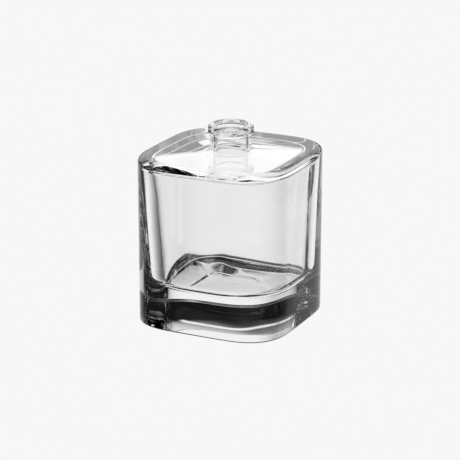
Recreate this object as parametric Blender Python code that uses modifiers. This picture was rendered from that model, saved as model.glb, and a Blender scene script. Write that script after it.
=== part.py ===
"""Clear glass flacon for aftershave: a rounded square body with a heavy base and a turned crimp neck.

Metres, +Z up.  The origin is on the table at the middle of the body, the front face looks along -Y.
The bottle is one piece of moulded glass, open at the mouth.
"""
import math

import bmesh
import bpy
from mathutils import Vector

MM = 0.001

# ---- body, outside ------------------------------------------------------------------------------
BODY_WIDTH = 52.0 * MM        # across the flats, both ways
BODY_HEIGHT = 55.5 * MM       # table to top panel
CORNER_RADIUS = 14.4 * MM     # the four upright corners
TOP_EDGE_RADIUS = 2.5 * MM    # round between the walls and the top panel
HEEL_RADIUS = 0.8 * MM        # small round between the walls and the underside

# ---- neck finish --------------------------------------------------------------------------------
NECK_RADIUS = 6.75 * MM       # plain shank under the crimp flange
NECK_HEIGHT = 8.6 * MM        # top panel to lip
NECK_FOOT_RADIUS = 1.1 * MM   # cove where the shank grows out of the panel
FLANGE_OVERHANG = 0.7 * MM    # the crimp flange stands out this far, for a ferrule to be rolled under
FLANGE_HEIGHT = 2.8 * MM
LIP_RADIUS = 0.55 * MM        # round on the flange's upper edge
GROOVE_DEPTH = 0.2 * MM       # shallow line round the flange where the mould's halves of the ring meet
NECK_WALL = 1.65 * MM         # shank to bore

# ---- inside -------------------------------------------------------------------------------------
WALL_AT_SHOULDER = 5.0 * MM   # the walls thicken from here ...
WALL_AT_FLOOR = 6.3 * MM      # ... down to here
FLOOR_THICKNESS = 11.8 * MM   # the heavy base
TOP_WALL = 3.2 * MM           # glass over the cavity's ceiling
CAVITY_CORNER_STEP = 1.4 * MM # the cavity's upright corners are tighter than the body's by this much
CAVITY_FLOOR_ROUND = 5.5 * MM
CAVITY_SHOULDER_ROUND = 2.5 * MM

# ---- underside ----------------------------------------------------------------------------------
BEARING_RING = 11.5 * MM      # width of the flat ring the bottle stands on
RECESS_DEPTH = 0.7 * MM
RECESS_CORNER = 4.0 * MM

# ---- how finely rounds are divided --------------------------------------------------------------
CORNER_STEPS = 10
EDGE_STEPS = 4
HEEL_STEPS = 2
TURN_STEPS = 48

CUT_MARGIN = 1.0 * MM         # how far a cutter runs past what it cuts
BLEND_SINK = 0.05 * MM        # a round that meets a flat face dips this far through it, so they cross cleanly

FLANGE_RADIUS = NECK_RADIUS + FLANGE_OVERHANG
BORE_RADIUS = NECK_RADIUS - NECK_WALL
CAVITY_CORNER = CORNER_RADIUS - CAVITY_CORNER_STEP
MOUTH_Z = BODY_HEIGHT + NECK_HEIGHT
CAVITY_TOP_Z = BODY_HEIGHT - TOP_WALL


def clear_scene():
    for item in list(bpy.data.objects):
        bpy.data.objects.remove(item, do_unlink=True)


def make_collection(name):
    group = bpy.data.collections.new(name)
    bpy.context.scene.collection.children.link(group)
    return group


def add_object(name, mesh, group):
    item = bpy.data.objects.new(name, mesh)
    group.objects.link(item)
    return item


def as_cutter(item):
    item.hide_render = True
    item.display_type = "WIRE"
    return item


def upright_edges(bm):
    """Edges that run more along Z than across it."""
    found = []
    for edge in bm.edges:
        run = edge.verts[1].co - edge.verts[0].co
        if abs(run.z) > 0.9 * run.length:
            found.append(edge)
    return found


def rim_edges(bm, direction):
    """The outline of the flat end face that looks along Z in the given direction."""
    found = []
    for edge in bm.edges:
        flat = [f for f in edge.link_faces if f.normal.z * direction > 0.99]
        if len(flat) == 1:
            found.append(edge)
    return found


def bevel(bm, edges, radius, steps):
    if radius <= 0.0:
        return
    bmesh.ops.bevel(bm, geom=edges, offset=radius, offset_type="OFFSET", segments=steps,
                    profile=0.5, affect="EDGES", clamp_overlap=False)
    bm.normal_update()


def rounded_block(half_low, half_high, z_low, z_high, corner, top_round, top_steps, low_round, low_steps):
    """An upright block with rounded corners, tapering from half_low at the bottom to half_high."""
    bm = bmesh.new()
    bmesh.ops.create_cube(bm, size=2.0)
    for vert in bm.verts:
        half = half_high if vert.co.z > 0.0 else half_low
        level = z_high if vert.co.z > 0.0 else z_low
        vert.co = Vector((vert.co.x * half, vert.co.y * half, level))
    bm.normal_update()
    bevel(bm, upright_edges(bm), corner, CORNER_STEPS)
    bevel(bm, rim_edges(bm, 1.0), top_round, top_steps)
    bevel(bm, rim_edges(bm, -1.0), low_round, low_steps)
    mesh = bpy.data.meshes.new("block")
    bm.to_mesh(mesh)
    bm.free()
    return mesh


def arc(centre_x, centre_z, radius, start, end, steps):
    """Points on an arc in the XZ plane, angles in degrees from +X."""
    points = []
    for step in range(steps + 1):
        angle = math.radians(start + (end - start) * step / steps)
        points.append((centre_x + radius * math.cos(angle), centre_z + radius * math.sin(angle)))
    return points


def turned(name, profile, group):
    """A solid of revolution about Z from a profile listed from the top centre down the outer side."""
    mesh = bpy.data.meshes.new(name)
    bm = bmesh.new()
    chain = [bm.verts.new((x, 0.0, z)) for x, z in profile]
    for first, second in zip(chain, chain[1:]):
        bm.edges.new((first, second))
    bm.to_mesh(mesh)
    bm.free()
    item = add_object(name, mesh, group)
    screw = item.modifiers.new("turn", "SCREW")
    screw.axis = "Z"
    screw.angle = 2.0 * math.pi
    screw.steps = TURN_STEPS
    screw.render_steps = TURN_STEPS
    screw.use_merge_vertices = True
    screw.merge_threshold = 0.00001
    return item


def neck_profile():
    """Lip, crimp flange with its shallow groove, shank and the cove at its foot."""
    lip = LIP_RADIUS
    flange_low = MOUTH_Z - FLANGE_HEIGHT
    groove = MOUTH_Z - 0.45 * FLANGE_HEIGHT
    under = 0.4 * MM
    cove = NECK_FOOT_RADIUS
    points = [(0.0, MOUTH_Z)]
    points += arc(FLANGE_RADIUS - lip, MOUTH_Z - lip, lip, 90.0, 0.0, 3)
    points.append((FLANGE_RADIUS, groove + GROOVE_DEPTH))
    points.append((FLANGE_RADIUS - GROOVE_DEPTH, groove))
    points.append((FLANGE_RADIUS, groove - GROOVE_DEPTH))
    points.append((FLANGE_RADIUS, flange_low + under))
    points.append((FLANGE_RADIUS - 0.5 * under, flange_low))
    points.append((NECK_RADIUS, flange_low - under))
    points += arc(NECK_RADIUS + cove, BODY_HEIGHT + cove - BLEND_SINK, cove, 180.0, 270.0, 4)
    points.append((NECK_RADIUS + cove, BODY_HEIGHT - CUT_MARGIN))
    points.append((0.0, BODY_HEIGHT - CUT_MARGIN))
    return points


def bore_profile():
    """The bore, with a soft mouth and a small flare where it opens into the cavity."""
    mouth = 0.5 * MM
    flare = 1.2 * MM
    points = [(0.0, MOUTH_Z + CUT_MARGIN)]
    points.append((BORE_RADIUS + mouth, MOUTH_Z + CUT_MARGIN))
    points += arc(BORE_RADIUS + mouth, MOUTH_Z - mouth + BLEND_SINK, mouth, 90.0, 180.0, 3)
    points += arc(BORE_RADIUS + flare, CAVITY_TOP_Z + flare - BLEND_SINK, flare, 180.0, 270.0, 3)
    points.append((BORE_RADIUS + flare, CAVITY_TOP_Z - CUT_MARGIN))
    points.append((0.0, CAVITY_TOP_Z - CUT_MARGIN))
    return points


def combine(target, other, operation):
    step = target.modifiers.new(operation.lower() + "_" + other.name, "BOOLEAN")
    step.operation = operation
    step.solver = "EXACT"
    step.object = other


def glass_material():
    glass = bpy.data.materials.new("clear_glass")
    glass.use_nodes = True
    shader = glass.node_tree.nodes["Principled BSDF"]
    shader.inputs["Base Color"].default_value = (0.93, 0.94, 0.94, 1.0)
    shader.inputs["Roughness"].default_value = 0.03
    shader.inputs["Metallic"].default_value = 0.0
    shader.inputs["IOR"].default_value = 1.52
    shader.inputs["Transmission Weight"].default_value = 1.0
    return glass


def build():
    clear_scene()
    parts = make_collection("aftershave_bottle")
    cutters = make_collection("cutters")

    half = 0.5 * BODY_WIDTH
    outside = rounded_block(half, half, 0.0, BODY_HEIGHT, CORNER_RADIUS,
                            TOP_EDGE_RADIUS, EDGE_STEPS, HEEL_RADIUS, HEEL_STEPS)
    bottle = add_object("glass_bottle", outside, parts)

    neck = as_cutter(turned("neck_turning", neck_profile(), cutters))
    combine(bottle, neck, "UNION")

    cavity_mesh = rounded_block(half - WALL_AT_FLOOR, half - WALL_AT_SHOULDER,
                                FLOOR_THICKNESS, CAVITY_TOP_Z, CAVITY_CORNER,
                                CAVITY_SHOULDER_ROUND, EDGE_STEPS, CAVITY_FLOOR_ROUND, EDGE_STEPS)
    combine(bottle, as_cutter(add_object("cavity", cavity_mesh, cutters)), "DIFFERENCE")

    bore = as_cutter(turned("bore", bore_profile(), cutters))
    combine(bottle, bore, "DIFFERENCE")

    recess_half = half - BEARING_RING
    recess_mesh = rounded_block(recess_half, recess_half, -CUT_MARGIN, RECESS_DEPTH, RECESS_CORNER,
                                0.0, 1, 0.0, 1)
    combine(bottle, as_cutter(add_object("underside_recess", recess_mesh, cutters)), "DIFFERENCE")

    bottle.data.materials.append(glass_material())
    bottle.data.shade_smooth()
    bottle.data.set_sharp_from_angle(angle=math.radians(35.0))


build()
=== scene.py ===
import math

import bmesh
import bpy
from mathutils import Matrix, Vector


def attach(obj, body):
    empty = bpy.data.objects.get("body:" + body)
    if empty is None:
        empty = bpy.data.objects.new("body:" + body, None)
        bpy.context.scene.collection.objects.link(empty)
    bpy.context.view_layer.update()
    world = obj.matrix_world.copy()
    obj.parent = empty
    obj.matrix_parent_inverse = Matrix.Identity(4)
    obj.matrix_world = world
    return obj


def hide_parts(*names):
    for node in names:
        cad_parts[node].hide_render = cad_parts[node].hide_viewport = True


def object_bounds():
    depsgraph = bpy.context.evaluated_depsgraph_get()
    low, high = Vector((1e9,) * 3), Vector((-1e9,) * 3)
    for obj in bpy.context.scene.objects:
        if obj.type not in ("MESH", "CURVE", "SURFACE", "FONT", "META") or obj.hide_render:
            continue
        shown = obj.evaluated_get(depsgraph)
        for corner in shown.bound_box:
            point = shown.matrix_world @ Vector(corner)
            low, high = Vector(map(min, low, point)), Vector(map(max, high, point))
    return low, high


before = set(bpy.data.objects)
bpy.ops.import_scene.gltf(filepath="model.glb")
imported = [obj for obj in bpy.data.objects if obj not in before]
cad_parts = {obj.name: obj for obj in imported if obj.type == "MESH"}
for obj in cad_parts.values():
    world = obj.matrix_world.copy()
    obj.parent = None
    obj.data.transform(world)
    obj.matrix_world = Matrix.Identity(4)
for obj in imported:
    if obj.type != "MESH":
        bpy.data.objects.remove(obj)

# Clear glass flacon for aftershave: one moulded piece with a heavy base and a turned crimp neck.
# The frame gives the body's width and the level of the mouth.  The fine glass body is swept by
# Geometry Nodes from one profile, which runs from the middle of the underside, up the outside,
# over the lip and down the inside to the middle of the inner floor.

MM = 0.001

CAD_LOW, CAD_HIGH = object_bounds()

# ---- outside, from the frame --------------------------------------------------------------------
HALF = 0.5 * (CAD_HIGH.x - CAD_LOW.x)     # half the body's width
MOUTH_Z = CAD_HIGH.z
NECK_HEIGHT = 8.6 * MM
SHOULDER_Z = MOUTH_Z - NECK_HEIGHT        # level of the top panel
CORNER = 14.1 * MM                        # upright corners
TOP_EDGE = 2.0 * MM
HEEL = 0.7 * MM

NECK = 6.75 * MM
FLANGE = 7.45 * MM
FLANGE_HEIGHT = 2.8 * MM
NECK_COVE = 1.1 * MM
LIP = 1.0 * MM
MOUTH_ROUND = 1.1 * MM                    # the bore opens softly at the lip
GROOVE = 0.15 * MM
GROOVE_DROP = 0.45 * FLANGE_HEIGHT        # from the lip down to the groove
SEAM_Z = 0.4 * SHOULDER_Z                 # where the runs of the profile join on the outer wall
BORE_MIDDLE_Z = MOUTH_Z - 0.5 * NECK_HEIGHT

# ---- inside -------------------------------------------------------------------------------------
BORE = 5.1 * MM
BORE_FLARE = 2.4 * MM                     # round where the bore opens into the cavity
CEILING_Z = SHOULDER_Z - 3.4 * MM
CEILING_DOME = 2.2 * MM                   # the ceiling rises this much towards the bore
FLOOR_Z = 12.6 * MM
FLOOR_DISH = 0.7 * MM                     # the inner floor sinks this much at its middle
CAVITY_TOP = HALF - 4.1 * MM             # half width of the cavity under the shoulder
CAVITY_MIDDLE = HALF - 4.85 * MM          # at the level of the bend
BEND_Z = 42.0 * MM
WALL_BEND = 150.0 * MM                    # radius of the inner wall's slow bend
CAVITY_LOW = HALF - 6.17 * MM             # and just over the floor
CAVITY_CORNER_TOP = 12.17 * MM
CAVITY_CORNER_LOW = 12.4 * MM
CAVITY_SHOULDER = 1.3 * MM
CAVITY_HEEL = 3.4 * MM
CAVITY_LEAN_X = -0.24 * MM
CAVITY_LEAN_Y = -0.63 * MM
FLOOR_CORNER_LEAST = 2.0 * MM
FLOOR_CORNER_RATE = 0.25                  # how fast the floor's corners tighten towards its middle
OUTER_SOFTNESS = 0.72                     # 0 is a rounded square, 1 a superellipse
INNER_SOFTNESS = 0.8

# ---- underside ----------------------------------------------------------------------------------
PUSH_UP = 1.0 * MM                        # the underside rises this much from its bearing edge
RECESS = 11.0 * MM
RECESS_DEPTH = 0.14 * MM
RECESS_EDGE = 1.6 * MM                    # width of the soft step round the recess
RECESS_CORNER = 4.0 * MM
DOME_STEPS = 60

# ---- how finely it is divided -------------------------------------------------------------------
COLUMNS = 224
ROW_SPACING = 1.2 * MM
ARC_STEPS = 12                            # rows in a quarter turn of a round
WELD = 0.002 * MM

# ---- glass --------------------------------------------------------------------------------------
MELT_DARK = (0.982, 0.986, 0.986, 1.0)
MELT_LIGHT = (1.0, 1.0, 1.0, 1.0)
CLOUD_SCALE = 60.0
SCUFF_SCALE = 900.0
SCUFF_HEIGHT = 5.0 * MM
SCUFF_ROUGHNESS = 0.05
GRAIN_SCALE = 400.0
GRAIN_ROUGHNESS = 0.004
SCUFF_STARTS = 0.58                        # a streak shows where its noise rises past this ...
SCUFF_FULL = 0.72                          # ... and is at its strongest here
SCUFF_SQUASH = 9.0                         # streaks are this much longer round the bottle than up it
SCUFF_RELIEF = 0.05                        # how far a streak marks the surface, as a share of the ripple
STRIA_SQUASH = 0.35                        # ripples are drawn out up the bottle by the inverse of this
STRIA_SCALE = 90.0
STRIA_STRENGTH = 0.5
STRIA_DEPTH = 0.02 * MM

# ---- studio -------------------------------------------------------------------------------------
PAPER = 0.930                             # the plain white the bottle stands before
CAMERA_TURN = math.radians(25.74)
CAMERA_RISE = math.radians(17.73)
CAMERA_DISTANCE = 12.542 * 2 * HALF
AIM_LEVEL = 1.06643 * HALF                # the camera looks at this level on the axis ...
AIM_LEFT = 0.29035 * MM                   # ... shifted a little across its picture, and up
AIM_UP = 0.57743 * MM
LENS = 156.28
SENSOR = 36.0

# Brightness by degrees off the line from the camera through the bottle.
TABLE_LIGHT = [(0, 0.96), (20, 0.95), (35, 0.80), (50, 0.50), (65, 0.16), (80, 0.015),
               (132, 0.015), (158, 0.20), (180, 0.20)]
OVERHEAD_LIGHT = [(0, 1.0), (35, 1.0), (50, 0.6), (65, 0.26), (80, 0.03),
                  (132, 0.03), (158, 0.22), (180, 0.22)]
ROOM_LIGHT = 0.008
TABLE_EDGE = (-5.0, 0.0)                  # degrees of height over which the table gives way to the room
OVERHEAD_EDGE = (21.0, 36.0)              # and the room to the light overhead

FLOOR_REACH = 8.0
FLOOR_GAP = 0.5 * MM                      # the floor lies this far under the bottle

REAR_BOX_REACH = 100.0 * MM               # half the width of the softbox behind the bottle
REAR_BOX_LOW = 64.0 * MM
REAR_BOX_HIGH = 110.0 * MM
REAR_BOX_GAP = 50.0 * MM                  # from the bottle's back to the softbox
REAR_LIGHT = 1.25


# ---- node helpers -------------------------------------------------------------------------------
class Wire:
    """A socket that arithmetic can be written on."""

    def __init__(self, plan, socket):
        self.plan = plan
        self.socket = socket

    def __add__(self, other):
        return self.plan.maths("ADD", self, other)

    def __radd__(self, other):
        return self.plan.maths("ADD", other, self)

    def __sub__(self, other):
        return self.plan.maths("SUBTRACT", self, other)

    def __rsub__(self, other):
        return self.plan.maths("SUBTRACT", other, self)

    def __mul__(self, other):
        return self.plan.maths("MULTIPLY", self, other)

    def __rmul__(self, other):
        return self.plan.maths("MULTIPLY", other, self)

    def __truediv__(self, other):
        return self.plan.maths("DIVIDE", self, other)

    def __rtruediv__(self, other):
        return self.plan.maths("DIVIDE", other, self)

    def __pow__(self, other):
        return self.plan.maths("POWER", self, other)

    def __rpow__(self, other):
        return self.plan.maths("POWER", other, self)

    def __neg__(self):
        return self.plan.maths("MULTIPLY", self, -1.0)

    def __abs__(self):
        return self.plan.maths("ABSOLUTE", self)

    def __lt__(self, other):
        return self.plan.maths("LESS_THAN", self, other)

    def __gt__(self, other):
        return self.plan.maths("GREATER_THAN", self, other)


class Plan:
    """A node tree under construction."""

    def __init__(self, tree):
        self.tree = tree

    def node(self, kind, settings=None, **inputs):
        """Adds a node, applies its settings first, then fills its inputs by name or number."""
        made = self.tree.nodes.new(kind)
        for name, value in (settings or {}).items():
            if name == "stops":
                self.set_stops(made.color_ramp, value)
            else:
                setattr(made, name, value)
        for name, value in inputs.items():
            place = int(name[1:]) if name[0] == "i" and name[1:].isdigit() else name.replace("_", " ")
            self.fill(made.inputs[place], value)
        return made

    def fill(self, socket, value):
        if isinstance(value, Wire):
            self.tree.links.new(value.socket, socket)
        elif isinstance(value, bpy.types.NodeSocket):
            self.tree.links.new(value, socket)
        else:
            socket.default_value = value

    def set_stops(self, ramp, stops):
        while len(ramp.elements) > 1:
            ramp.elements.remove(ramp.elements[-1])
        ramp.elements[0].position = stops[0][0]
        ramp.elements[0].color = stops[0][1]
        for place, colour in stops[1:]:
            ramp.elements.new(place).color = colour

    def wire(self, kind, settings=None, output=0, **inputs):
        return Wire(self, self.node(kind, settings, **inputs).outputs[output])

    def maths(self, operation, *values):
        made = self.tree.nodes.new("ShaderNodeMath")
        made.operation = operation
        for socket, value in zip(made.inputs, values):
            self.fill(socket, value)
        return Wire(self, made.outputs[0])

    def smooth(self, value, low, high, to_low=0.0, to_high=1.0):
        """A smooth step from to_low at low to to_high at high."""
        return self.wire("ShaderNodeMapRange", {"interpolation_type": "SMOOTHSTEP"},
                         Value=value, From_Min=low, From_Max=high, To_Min=to_low, To_Max=to_high)


# ---- the profile --------------------------------------------------------------------------------
def rounded_run(corners):
    """Points along a run of (x, z, radius) corners, with arcs in the corners and even steps between."""
    points = [(corners[0][0], corners[0][1])]

    def walk_to(x, z):
        last_x, last_z = points[-1]
        length = math.dist((last_x, last_z), (x, z))
        steps = max(1, round(length / ROW_SPACING))
        for step in range(1, steps + 1):
            share = step / steps
            points.append((last_x + (x - last_x) * share, last_z + (z - last_z) * share))

    for before, here, after in zip(corners, corners[1:], corners[2:]):
        corner = Vector((here[0], here[1]))
        back = (Vector((before[0], before[1])) - corner).normalized()
        ahead = (Vector((after[0], after[1])) - corner).normalized()
        radius = here[2]
        if radius <= 0.0:
            walk_to(corner.x, corner.y)
            continue
        half_angle = 0.5 * back.angle(ahead)
        reach = radius / math.tan(half_angle)
        centre = corner + (back + ahead).normalized() * (radius / math.sin(half_angle))
        start = corner + back * reach
        end = corner + ahead * reach
        walk_to(start.x, start.y)
        first = math.atan2(start.y - centre.y, start.x - centre.x)
        last = math.atan2(end.y - centre.y, end.x - centre.x)
        turn = (last - first + math.pi) % (2.0 * math.pi) - math.pi
        steps = max(2, math.ceil(abs(turn) / (0.5 * math.pi) * ARC_STEPS))
        for step in range(1, steps + 1):
            angle = first + turn * step / steps
            points.append((centre.x + radius * math.cos(angle), centre.y + radius * math.sin(angle)))
    walk_to(corners[-1][0], corners[-1][1])
    return points


def blend_radius(x, inner_x, inner_radius, outer_x, outer_radius):
    """Corner radius at x on a panel whose rounding changes evenly from a circle at inner_x."""
    if x <= inner_x:
        return x
    share = (x - inner_x) / (outer_x - inner_x)
    return min(x, inner_radius + (outer_radius - inner_radius) * share)


def underside_rows():
    """From the middle of the underside down its shallow dome to the heel, and round the heel."""
    rim = HALF - HEEL
    rows = []
    for step in range(DOME_STEPS + 1):
        x = rim * step / DOME_STEPS
        inside = min(1.0, max(0.0, 0.5 + (RECESS - x) / RECESS_EDGE))
        panel = RECESS_DEPTH * inside * inside * (3.0 - 2.0 * inside)
        rows.append((x, PUSH_UP * (1.0 - (x / rim) ** 2) + panel))
    rows += rounded_run([(rim, 0.0, 0.0), (HALF, 0.0, HEEL), (HALF, SEAM_Z, 0.0)])
    return [(x, z, min(x, max(RECESS_CORNER, CORNER - (HALF - x))), 0.0) for x, z in rows]


def outside_rows():
    """Up the wall, over the shoulder, up the neck and its flange, and over the lip into the bore."""
    flange_low = MOUTH_Z - FLANGE_HEIGHT
    groove = MOUTH_Z - GROOVE_DROP
    corners = [(HALF, SEAM_Z, 0.0), (HALF, SHOULDER_Z, TOP_EDGE),
               (NECK, SHOULDER_Z, NECK_COVE), (NECK, flange_low - 0.3 * MM, 0.2 * MM),
               (FLANGE, flange_low + 0.2 * MM, 0.4 * MM), (FLANGE, groove - 0.5 * MM, 0.3 * MM),
               (FLANGE - GROOVE, groove, 0.3 * MM), (FLANGE, groove + 0.3 * MM, 0.2 * MM),
               (FLANGE, MOUTH_Z, LIP), (BORE, MOUTH_Z, MOUTH_ROUND),
               (BORE, BORE_MIDDLE_Z, 0.0)]
    rows = []
    for x, z in rounded_run(corners):
        on_body = z < SHOULDER_Z + 0.5 * NECK_COVE
        corner = blend_radius(x, NECK, NECK, HALF, CORNER) if on_body else x
        rows.append((x, z, corner, 0.0))
    return rows


def inside_rows():
    """Down the bore, across the ceiling, down the inner wall and over the inner floor."""
    corners = [(BORE, BORE_MIDDLE_Z, 0.0), (BORE, CEILING_Z + CEILING_DOME, BORE_FLARE),
               (CAVITY_TOP, CEILING_Z, CAVITY_SHOULDER), (CAVITY_MIDDLE, BEND_Z, WALL_BEND),
               (CAVITY_LOW, FLOOR_Z, CAVITY_HEEL),
               (0.0, FLOOR_Z - FLOOR_DISH, 0.0)]
    points = rounded_run(corners)
    widest = max(range(len(points)), key=lambda i: points[i][0])
    rows = []
    for index, (x, z) in enumerate(points):
        if index <= widest:
            corner = blend_radius(x, BORE, BORE, CAVITY_TOP, CAVITY_CORNER_TOP)
            depth = min(1.0, max(0.0, (x - BORE) / (CAVITY_TOP - BORE)))
        elif z > FLOOR_Z + CAVITY_HEEL:
            share = (z - FLOOR_Z) / (CEILING_Z - FLOOR_Z)
            corner = CAVITY_CORNER_LOW + (CAVITY_CORNER_TOP - CAVITY_CORNER_LOW) * share
            depth = 1.0
        else:
            corner = max(FLOOR_CORNER_LEAST, CAVITY_CORNER_LOW - FLOOR_CORNER_RATE * (CAVITY_LOW - x))
            depth = 1.0
        rows.append((x, z, min(x, corner), depth))
    return rows


def profile_mesh():
    rows = []
    for row in underside_rows() + outside_rows() + inside_rows():
        if not rows or math.dist(row[:2], rows[-1][:2]) > WELD:
            rows.append(row)
    mesh = bpy.data.meshes.new("glass_profile")
    mesh.from_pydata([(x, 0.0, z) for x, z, corner, depth in rows],
                     [(i, i + 1) for i in range(len(rows) - 1)], [])
    for name, column in (("half_width", 0), ("level", 1), ("corner", 2), ("depth", 3)):
        layer = mesh.attributes.new(name, "FLOAT", "POINT")
        layer.data.foreach_set("value", [row[column] for row in rows])
    return mesh, len(rows)


# ---- the glass body -----------------------------------------------------------------------------
def sweep_tree():
    """Geometry Nodes: sweeps the profile round the axis along a superellipse for each of its rows."""
    tree = bpy.data.node_groups.new("Moulded Glass", "GeometryNodeTree")
    face = tree.interface
    face.new_socket("Profile", in_out="INPUT", socket_type="NodeSocketGeometry")
    for name, kind in (("Rows", "NodeSocketInt"), ("Columns", "NodeSocketInt"),
                       ("Half Width", "NodeSocketFloat"), ("Corner Radius", "NodeSocketFloat"),
                       ("Outer Softness", "NodeSocketFloat"), ("Inner Softness", "NodeSocketFloat"),
                       ("Weld Distance", "NodeSocketFloat"), ("Lean", "NodeSocketVector"),
                       ("Glass", "NodeSocketMaterial")):
        face.new_socket(name, in_out="INPUT", socket_type=kind)
    face.new_socket("Geometry", in_out="OUTPUT", socket_type="NodeSocketGeometry")
    plan = Plan(tree)
    given = plan.node("NodeGroupInput")

    def take(name):
        return Wire(plan, given.outputs[name])

    columns = take("Columns")
    grid = plan.node("GeometryNodeMeshGrid", Vertices_X=take("Rows"), Vertices_Y=columns + 1.0)
    index = plan.wire("GeometryNodeInputIndex")
    row = plan.maths("FLOOR", (index + 0.5) / (columns + 1.0))
    column = index - row * (columns + 1.0)

    def on_profile(name):
        value = plan.wire("GeometryNodeInputNamedAttribute", {"data_type": "FLOAT"}, Name=name)
        return plan.wire("GeometryNodeSampleIndex", {"data_type": "FLOAT", "domain": "POINT"},
                         Geometry=take("Profile"), Value=value, Index=row)

    half, level, corner, depth = (on_profile(n) for n in ("half_width", "level", "corner", "depth"))

    # Columns are spread over a quarter of the outline: half a side, an upright corner, half a side.
    quarter = plan.maths("FLOOR", column * 4.0 / columns + 0.0005)
    share = column * 4.0 / columns - quarter
    flat = take("Half Width") - take("Corner Radius")
    bend = plan.wire("ShaderNodeMapRange", Value=share, From_Min=0.25, From_Max=0.75,
                     To_Min=0.0, To_Max=0.5 * math.pi)
    near = flat * plan.maths("MINIMUM", share * 4.0, 1.0)
    far = flat * plan.maths("MINIMUM", (1.0 - share) * 4.0, 1.0)
    across = far + take("Corner Radius") * plan.maths("COSINE", bend)
    along = near + take("Corner Radius") * plan.maths("SINE", bend)
    angle = plan.maths("ARCTAN2", along, across) + quarter * (0.5 * math.pi)
    cosine = plan.maths("COSINE", angle)
    sine = plan.maths("SINE", angle)

    # A rounded square: flat sides joined by arcs.
    long = plan.maths("MAXIMUM", abs(cosine), abs(sine))
    short = plan.maths("MINIMUM", abs(cosine), abs(sine))
    core = half - corner
    side = half / long
    inside = plan.maths("MAXIMUM", corner * corner - (core * (long - short)) ** 2.0, 0.0)
    arc = core * (long + short) + plan.maths("SQRT", inside)
    on_arc = side * short > core
    square = side + (arc - side) * on_arc

    # A superellipse that reaches as far along its diagonal, so that the flats swell a little.
    diagonal = (core * math.sqrt(2.0) + corner) / plan.maths("MAXIMUM", half, 1e-6)
    power = 1.0 / (0.5 - plan.maths("LOGARITHM", diagonal, 2.0))
    swollen = half / (abs(cosine) ** power + abs(sine) ** power) ** (1.0 / power)
    softness = take("Outer Softness") + (take("Inner Softness") - take("Outer Softness")) * depth
    reach = square + (swollen - square) * softness

    place = plan.wire("ShaderNodeCombineXYZ", X=reach * cosine, Y=reach * sine, Z=level)
    lean = plan.wire("ShaderNodeVectorMath", {"operation": "SCALE"}, Vector=take("Lean"), Scale=depth)
    place = plan.wire("ShaderNodeVectorMath", {"operation": "ADD"}, i0=place, i1=lean)

    swept = plan.node("GeometryNodeSetPosition", Geometry=Wire(plan, grid.outputs["Mesh"]), Position=place)
    welded = plan.node("GeometryNodeMergeByDistance", Geometry=swept.outputs[0],
                       Distance=take("Weld Distance"))
    smooth = plan.node("GeometryNodeSetShadeSmooth", Geometry=welded.outputs[0])
    whole = plan.node("GeometryNodeRealizeInstances", Geometry=smooth.outputs[0])
    painted = plan.node("GeometryNodeSetMaterial", Geometry=whole.outputs[0], Material=take("Glass"))
    plan.node("NodeGroupOutput", Geometry=painted.outputs[0])
    return tree


def set_inputs(modifier, values):
    for item in modifier.node_group.interface.items_tree:
        if item.in_out == "INPUT" and item.name in values:
            modifier[item.identifier] = values[item.name]


def close_and_orient(mesh):
    """Welds what still lies double and turns every face outwards."""
    bm = bmesh.new()
    bm.from_mesh(mesh)
    bmesh.ops.remove_doubles(bm, verts=bm.verts, dist=WELD)
    bmesh.ops.recalc_face_normals(bm, faces=bm.faces)
    if bm.calc_volume(signed=True) < 0.0:
        bmesh.ops.reverse_faces(bm, faces=bm.faces)
    for face in bm.faces:
        face.smooth = True
    bm.to_mesh(mesh)
    bm.free()


def glass_body(glass):
    mesh, rows = profile_mesh()
    source = bpy.data.objects.new("glass_profile", mesh)
    bpy.context.scene.collection.objects.link(source)
    sweep = source.modifiers.new("sweep", "NODES")
    sweep.node_group = sweep_tree()
    set_inputs(sweep, {"Rows": rows, "Columns": COLUMNS, "Half Width": HALF, "Corner Radius": CORNER,
                       "Outer Softness": OUTER_SOFTNESS, "Inner Softness": INNER_SOFTNESS,
                       "Weld Distance": WELD,
                       "Lean": (CAVITY_LEAN_X, CAVITY_LEAN_Y, 0.0), "Glass": glass})
    graph = bpy.context.evaluated_depsgraph_get()
    solid = bpy.data.meshes.new_from_object(source.evaluated_get(graph))
    bpy.data.objects.remove(source)
    solid.name = "moulded_glass"
    close_and_orient(solid)
    bottle = bpy.data.objects.new("moulded_glass", solid)
    bpy.context.scene.collection.objects.link(bottle)
    return bottle


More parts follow.
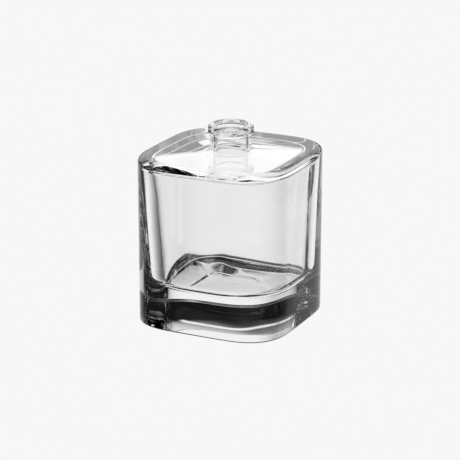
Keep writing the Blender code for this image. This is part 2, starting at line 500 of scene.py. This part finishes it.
def glass_material():
    """Flint glass: clear, with faint striae and grain, and scuffs near the table and on the flange."""
    glass = bpy.data.materials.new("flint_glass")
    glass.use_nodes = True
    plan = Plan(glass.node_tree)
    shader = glass.node_tree.nodes["Principled BSDF"]
    shader.inputs["Transmission Weight"].default_value = 1.0
    shader.inputs["IOR"].default_value = 1.52
    shader.inputs["Metallic"].default_value = 0.0
    spot = plan.wire("ShaderNodeTexCoord", output="Object")
    level = plan.wire("ShaderNodeSeparateXYZ", output=2, Vector=spot)

    # The melt is a little uneven, so its tint drifts over the body.
    cloud = plan.wire("ShaderNodeTexNoise", Vector=spot, Scale=CLOUD_SCALE, Detail=2.0, Roughness=0.5)
    tint = plan.wire("ShaderNodeMix", {"data_type": "RGBA"}, output=2, i0=cloud,
                     i6=MELT_DARK, i7=MELT_LIGHT)
    plan.fill(shader.inputs["Base Color"], tint)

    # Scuffs from the packing line: short streaks round the heel and on the flange.
    stretch = plan.wire("ShaderNodeMapping", Vector=spot, Scale=(1.0, 1.0, SCUFF_SQUASH))
    streak = plan.wire("ShaderNodeTexNoise", Vector=stretch, Scale=SCUFF_SCALE, Detail=4.0, Roughness=0.7)
    low = plan.smooth(level, 0.0, SCUFF_HEIGHT, 1.0, 0.0)
    high = plan.smooth(level, MOUTH_Z - FLANGE_HEIGHT, MOUTH_Z)
    scuff = plan.smooth(streak, SCUFF_STARTS, SCUFF_FULL) * plan.maths("MAXIMUM", low, high)
    grain = plan.wire("ShaderNodeTexNoise", Vector=spot, Scale=GRAIN_SCALE, Detail=2.0, Roughness=0.6)
    plan.fill(shader.inputs["Roughness"], SCUFF_ROUGHNESS * scuff + GRAIN_ROUGHNESS * grain)

    # Striae: slow ripples where the gob folded into the mould.
    drawn = plan.wire("ShaderNodeMapping", Vector=spot, Scale=(1.0, 1.0, STRIA_SQUASH))
    ripple = plan.wire("ShaderNodeTexNoise", Vector=drawn, Scale=STRIA_SCALE, Detail=1.0, Roughness=0.4)
    bump = plan.wire("ShaderNodeBump", Strength=STRIA_STRENGTH, Distance=STRIA_DEPTH,
                     Height=ripple + SCUFF_RELIEF * scuff)
    plan.fill(shader.inputs["Normal"], bump)
    return glass


# ---- studio -------------------------------------------------------------------------------------
def camera():
    """A long lens, a little above the bottle and turned towards its right-hand corner."""
    turn, rise = CAMERA_TURN, CAMERA_RISE
    back = Vector((math.sin(turn) * math.cos(rise), -math.cos(turn) * math.cos(rise), math.sin(rise)))
    right = Vector((math.cos(turn), math.sin(turn), 0.0))
    up = back.cross(right)
    aim = Vector((0.0, 0.0, AIM_LEVEL)) - right * AIM_LEFT + up * AIM_UP
    lens = bpy.data.cameras.new("camera")
    lens.sensor_width = SENSOR
    lens.lens = LENS
    lens.clip_start = 0.01
    lens.clip_end = 100.0
    holder = bpy.data.objects.new("camera", lens)
    bpy.context.scene.collection.objects.link(holder)
    holder.location = aim + back * CAMERA_DISTANCE
    holder.rotation_mode = "QUATERNION"
    holder.rotation_quaternion = (-back).to_track_quat("-Z", "Y")
    bpy.context.scene.camera = holder


def plain(name, brightness):
    """An evenly lit matt surface."""
    paint = bpy.data.materials.new(name)
    paint.use_nodes = True
    tree = paint.node_tree
    tree.nodes.clear()
    plan = Plan(tree)
    glow = plan.node("ShaderNodeEmission", Color=(brightness, brightness, brightness, 1.0))
    plan.node("ShaderNodeOutputMaterial", Surface=glow.outputs[0])
    return paint


def seen_by(item, camera_rays, other_rays):
    item.visible_camera = camera_rays
    item.visible_diffuse = other_rays
    item.visible_glossy = other_rays
    item.visible_transmission = other_rays
    item.visible_shadow = False


def floor():
    mesh = bpy.data.meshes.new("floor")
    bm = bmesh.new()
    bmesh.ops.create_grid(bm, x_segments=1, y_segments=1, size=FLOOR_REACH)
    bm.to_mesh(mesh)
    bm.free()
    for vert in mesh.vertices:
        vert.co.z = -FLOOR_GAP
    mesh.materials.append(plain("white_paper", PAPER))
    item = bpy.data.objects.new("floor", mesh)
    bpy.context.scene.collection.objects.link(item)
    seen_by(item, True, False)


def grey_stops(levels):
    return [(degrees / 180.0, (grey, grey, grey, 1.0)) for degrees, grey in levels]


def studio_light():
    """World light: a white table that fades at the sides, a dark room, and a broad light overhead."""
    world = bpy.data.worlds.new("studio")
    bpy.context.scene.world = world
    world.use_nodes = True
    world.node_tree.nodes.clear()
    plan = Plan(world.node_tree)
    way = plan.node("ShaderNodeSeparateXYZ", Vector=plan.wire("ShaderNodeTexCoord", output="Generated"))
    x, y, z = (Wire(plan, way.outputs[n]) for n in ("X", "Y", "Z"))
    ahead = x * -math.sin(CAMERA_TURN) + y * math.cos(CAMERA_TURN)
    aside = x * math.cos(CAMERA_TURN) + y * math.sin(CAMERA_TURN)
    off = abs(plan.maths("ARCTAN2", aside, ahead)) / math.pi
    rise = plan.maths("ARCSINE", z) * (180.0 / math.pi)
    table = plan.wire("ShaderNodeValToRGB", {"stops": grey_stops(TABLE_LIGHT)}, Fac=off)
    above = plan.wire("ShaderNodeValToRGB", {"stops": grey_stops(OVERHEAD_LIGHT)}, Fac=off)
    room = plan.smooth(rise, *TABLE_EDGE)
    ceiling = plan.smooth(rise, *OVERHEAD_EDGE)
    light = table + (ROOM_LIGHT - table) * room
    light = light + (above - light) * ceiling
    see = plan.wire("ShaderNodeLightPath", output="Is Camera Ray")
    light = light + (PAPER - light) * see
    shade = plan.wire("ShaderNodeCombineXYZ", X=light, Y=light, Z=light)
    back = plan.node("ShaderNodeBackground", Color=shade)
    plan.node("ShaderNodeOutputWorld", Surface=back.outputs[0])


def rear_softbox():
    """A lit panel behind the bottle and above it, which whitens the top panel."""
    ahead = Vector((-math.sin(CAMERA_TURN), math.cos(CAMERA_TURN), 0.0))
    right = Vector((math.cos(CAMERA_TURN), math.sin(CAMERA_TURN), 0.0))
    centre = ahead * (HALF + REAR_BOX_GAP)
    mesh = bpy.data.meshes.new("rear_softbox")
    outline = ((-1, REAR_BOX_LOW), (1, REAR_BOX_LOW), (1, REAR_BOX_HIGH), (-1, REAR_BOX_HIGH))
    corners = [centre + right * side * REAR_BOX_REACH + Vector((0.0, 0.0, level)) for side, level in outline]
    mesh.from_pydata(corners, [], [(0, 1, 2, 3)])
    mesh.materials.append(plain("softbox_cloth", REAR_LIGHT))
    item = bpy.data.objects.new("rear_softbox", mesh)
    bpy.context.scene.collection.objects.link(item)
    seen_by(item, False, True)


def look():
    scene = bpy.context.scene
    scene.view_settings.view_transform = "Standard"
    scene.cycles.max_bounces = 24
    scene.cycles.transmission_bounces = 24
    scene.cycles.glossy_bounces = 12


glass = glass_material()
bottle = glass_body(glass)
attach(bottle, "root")
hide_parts("glass_bottle")
floor()
studio_light()
rear_softbox()
camera()
look()
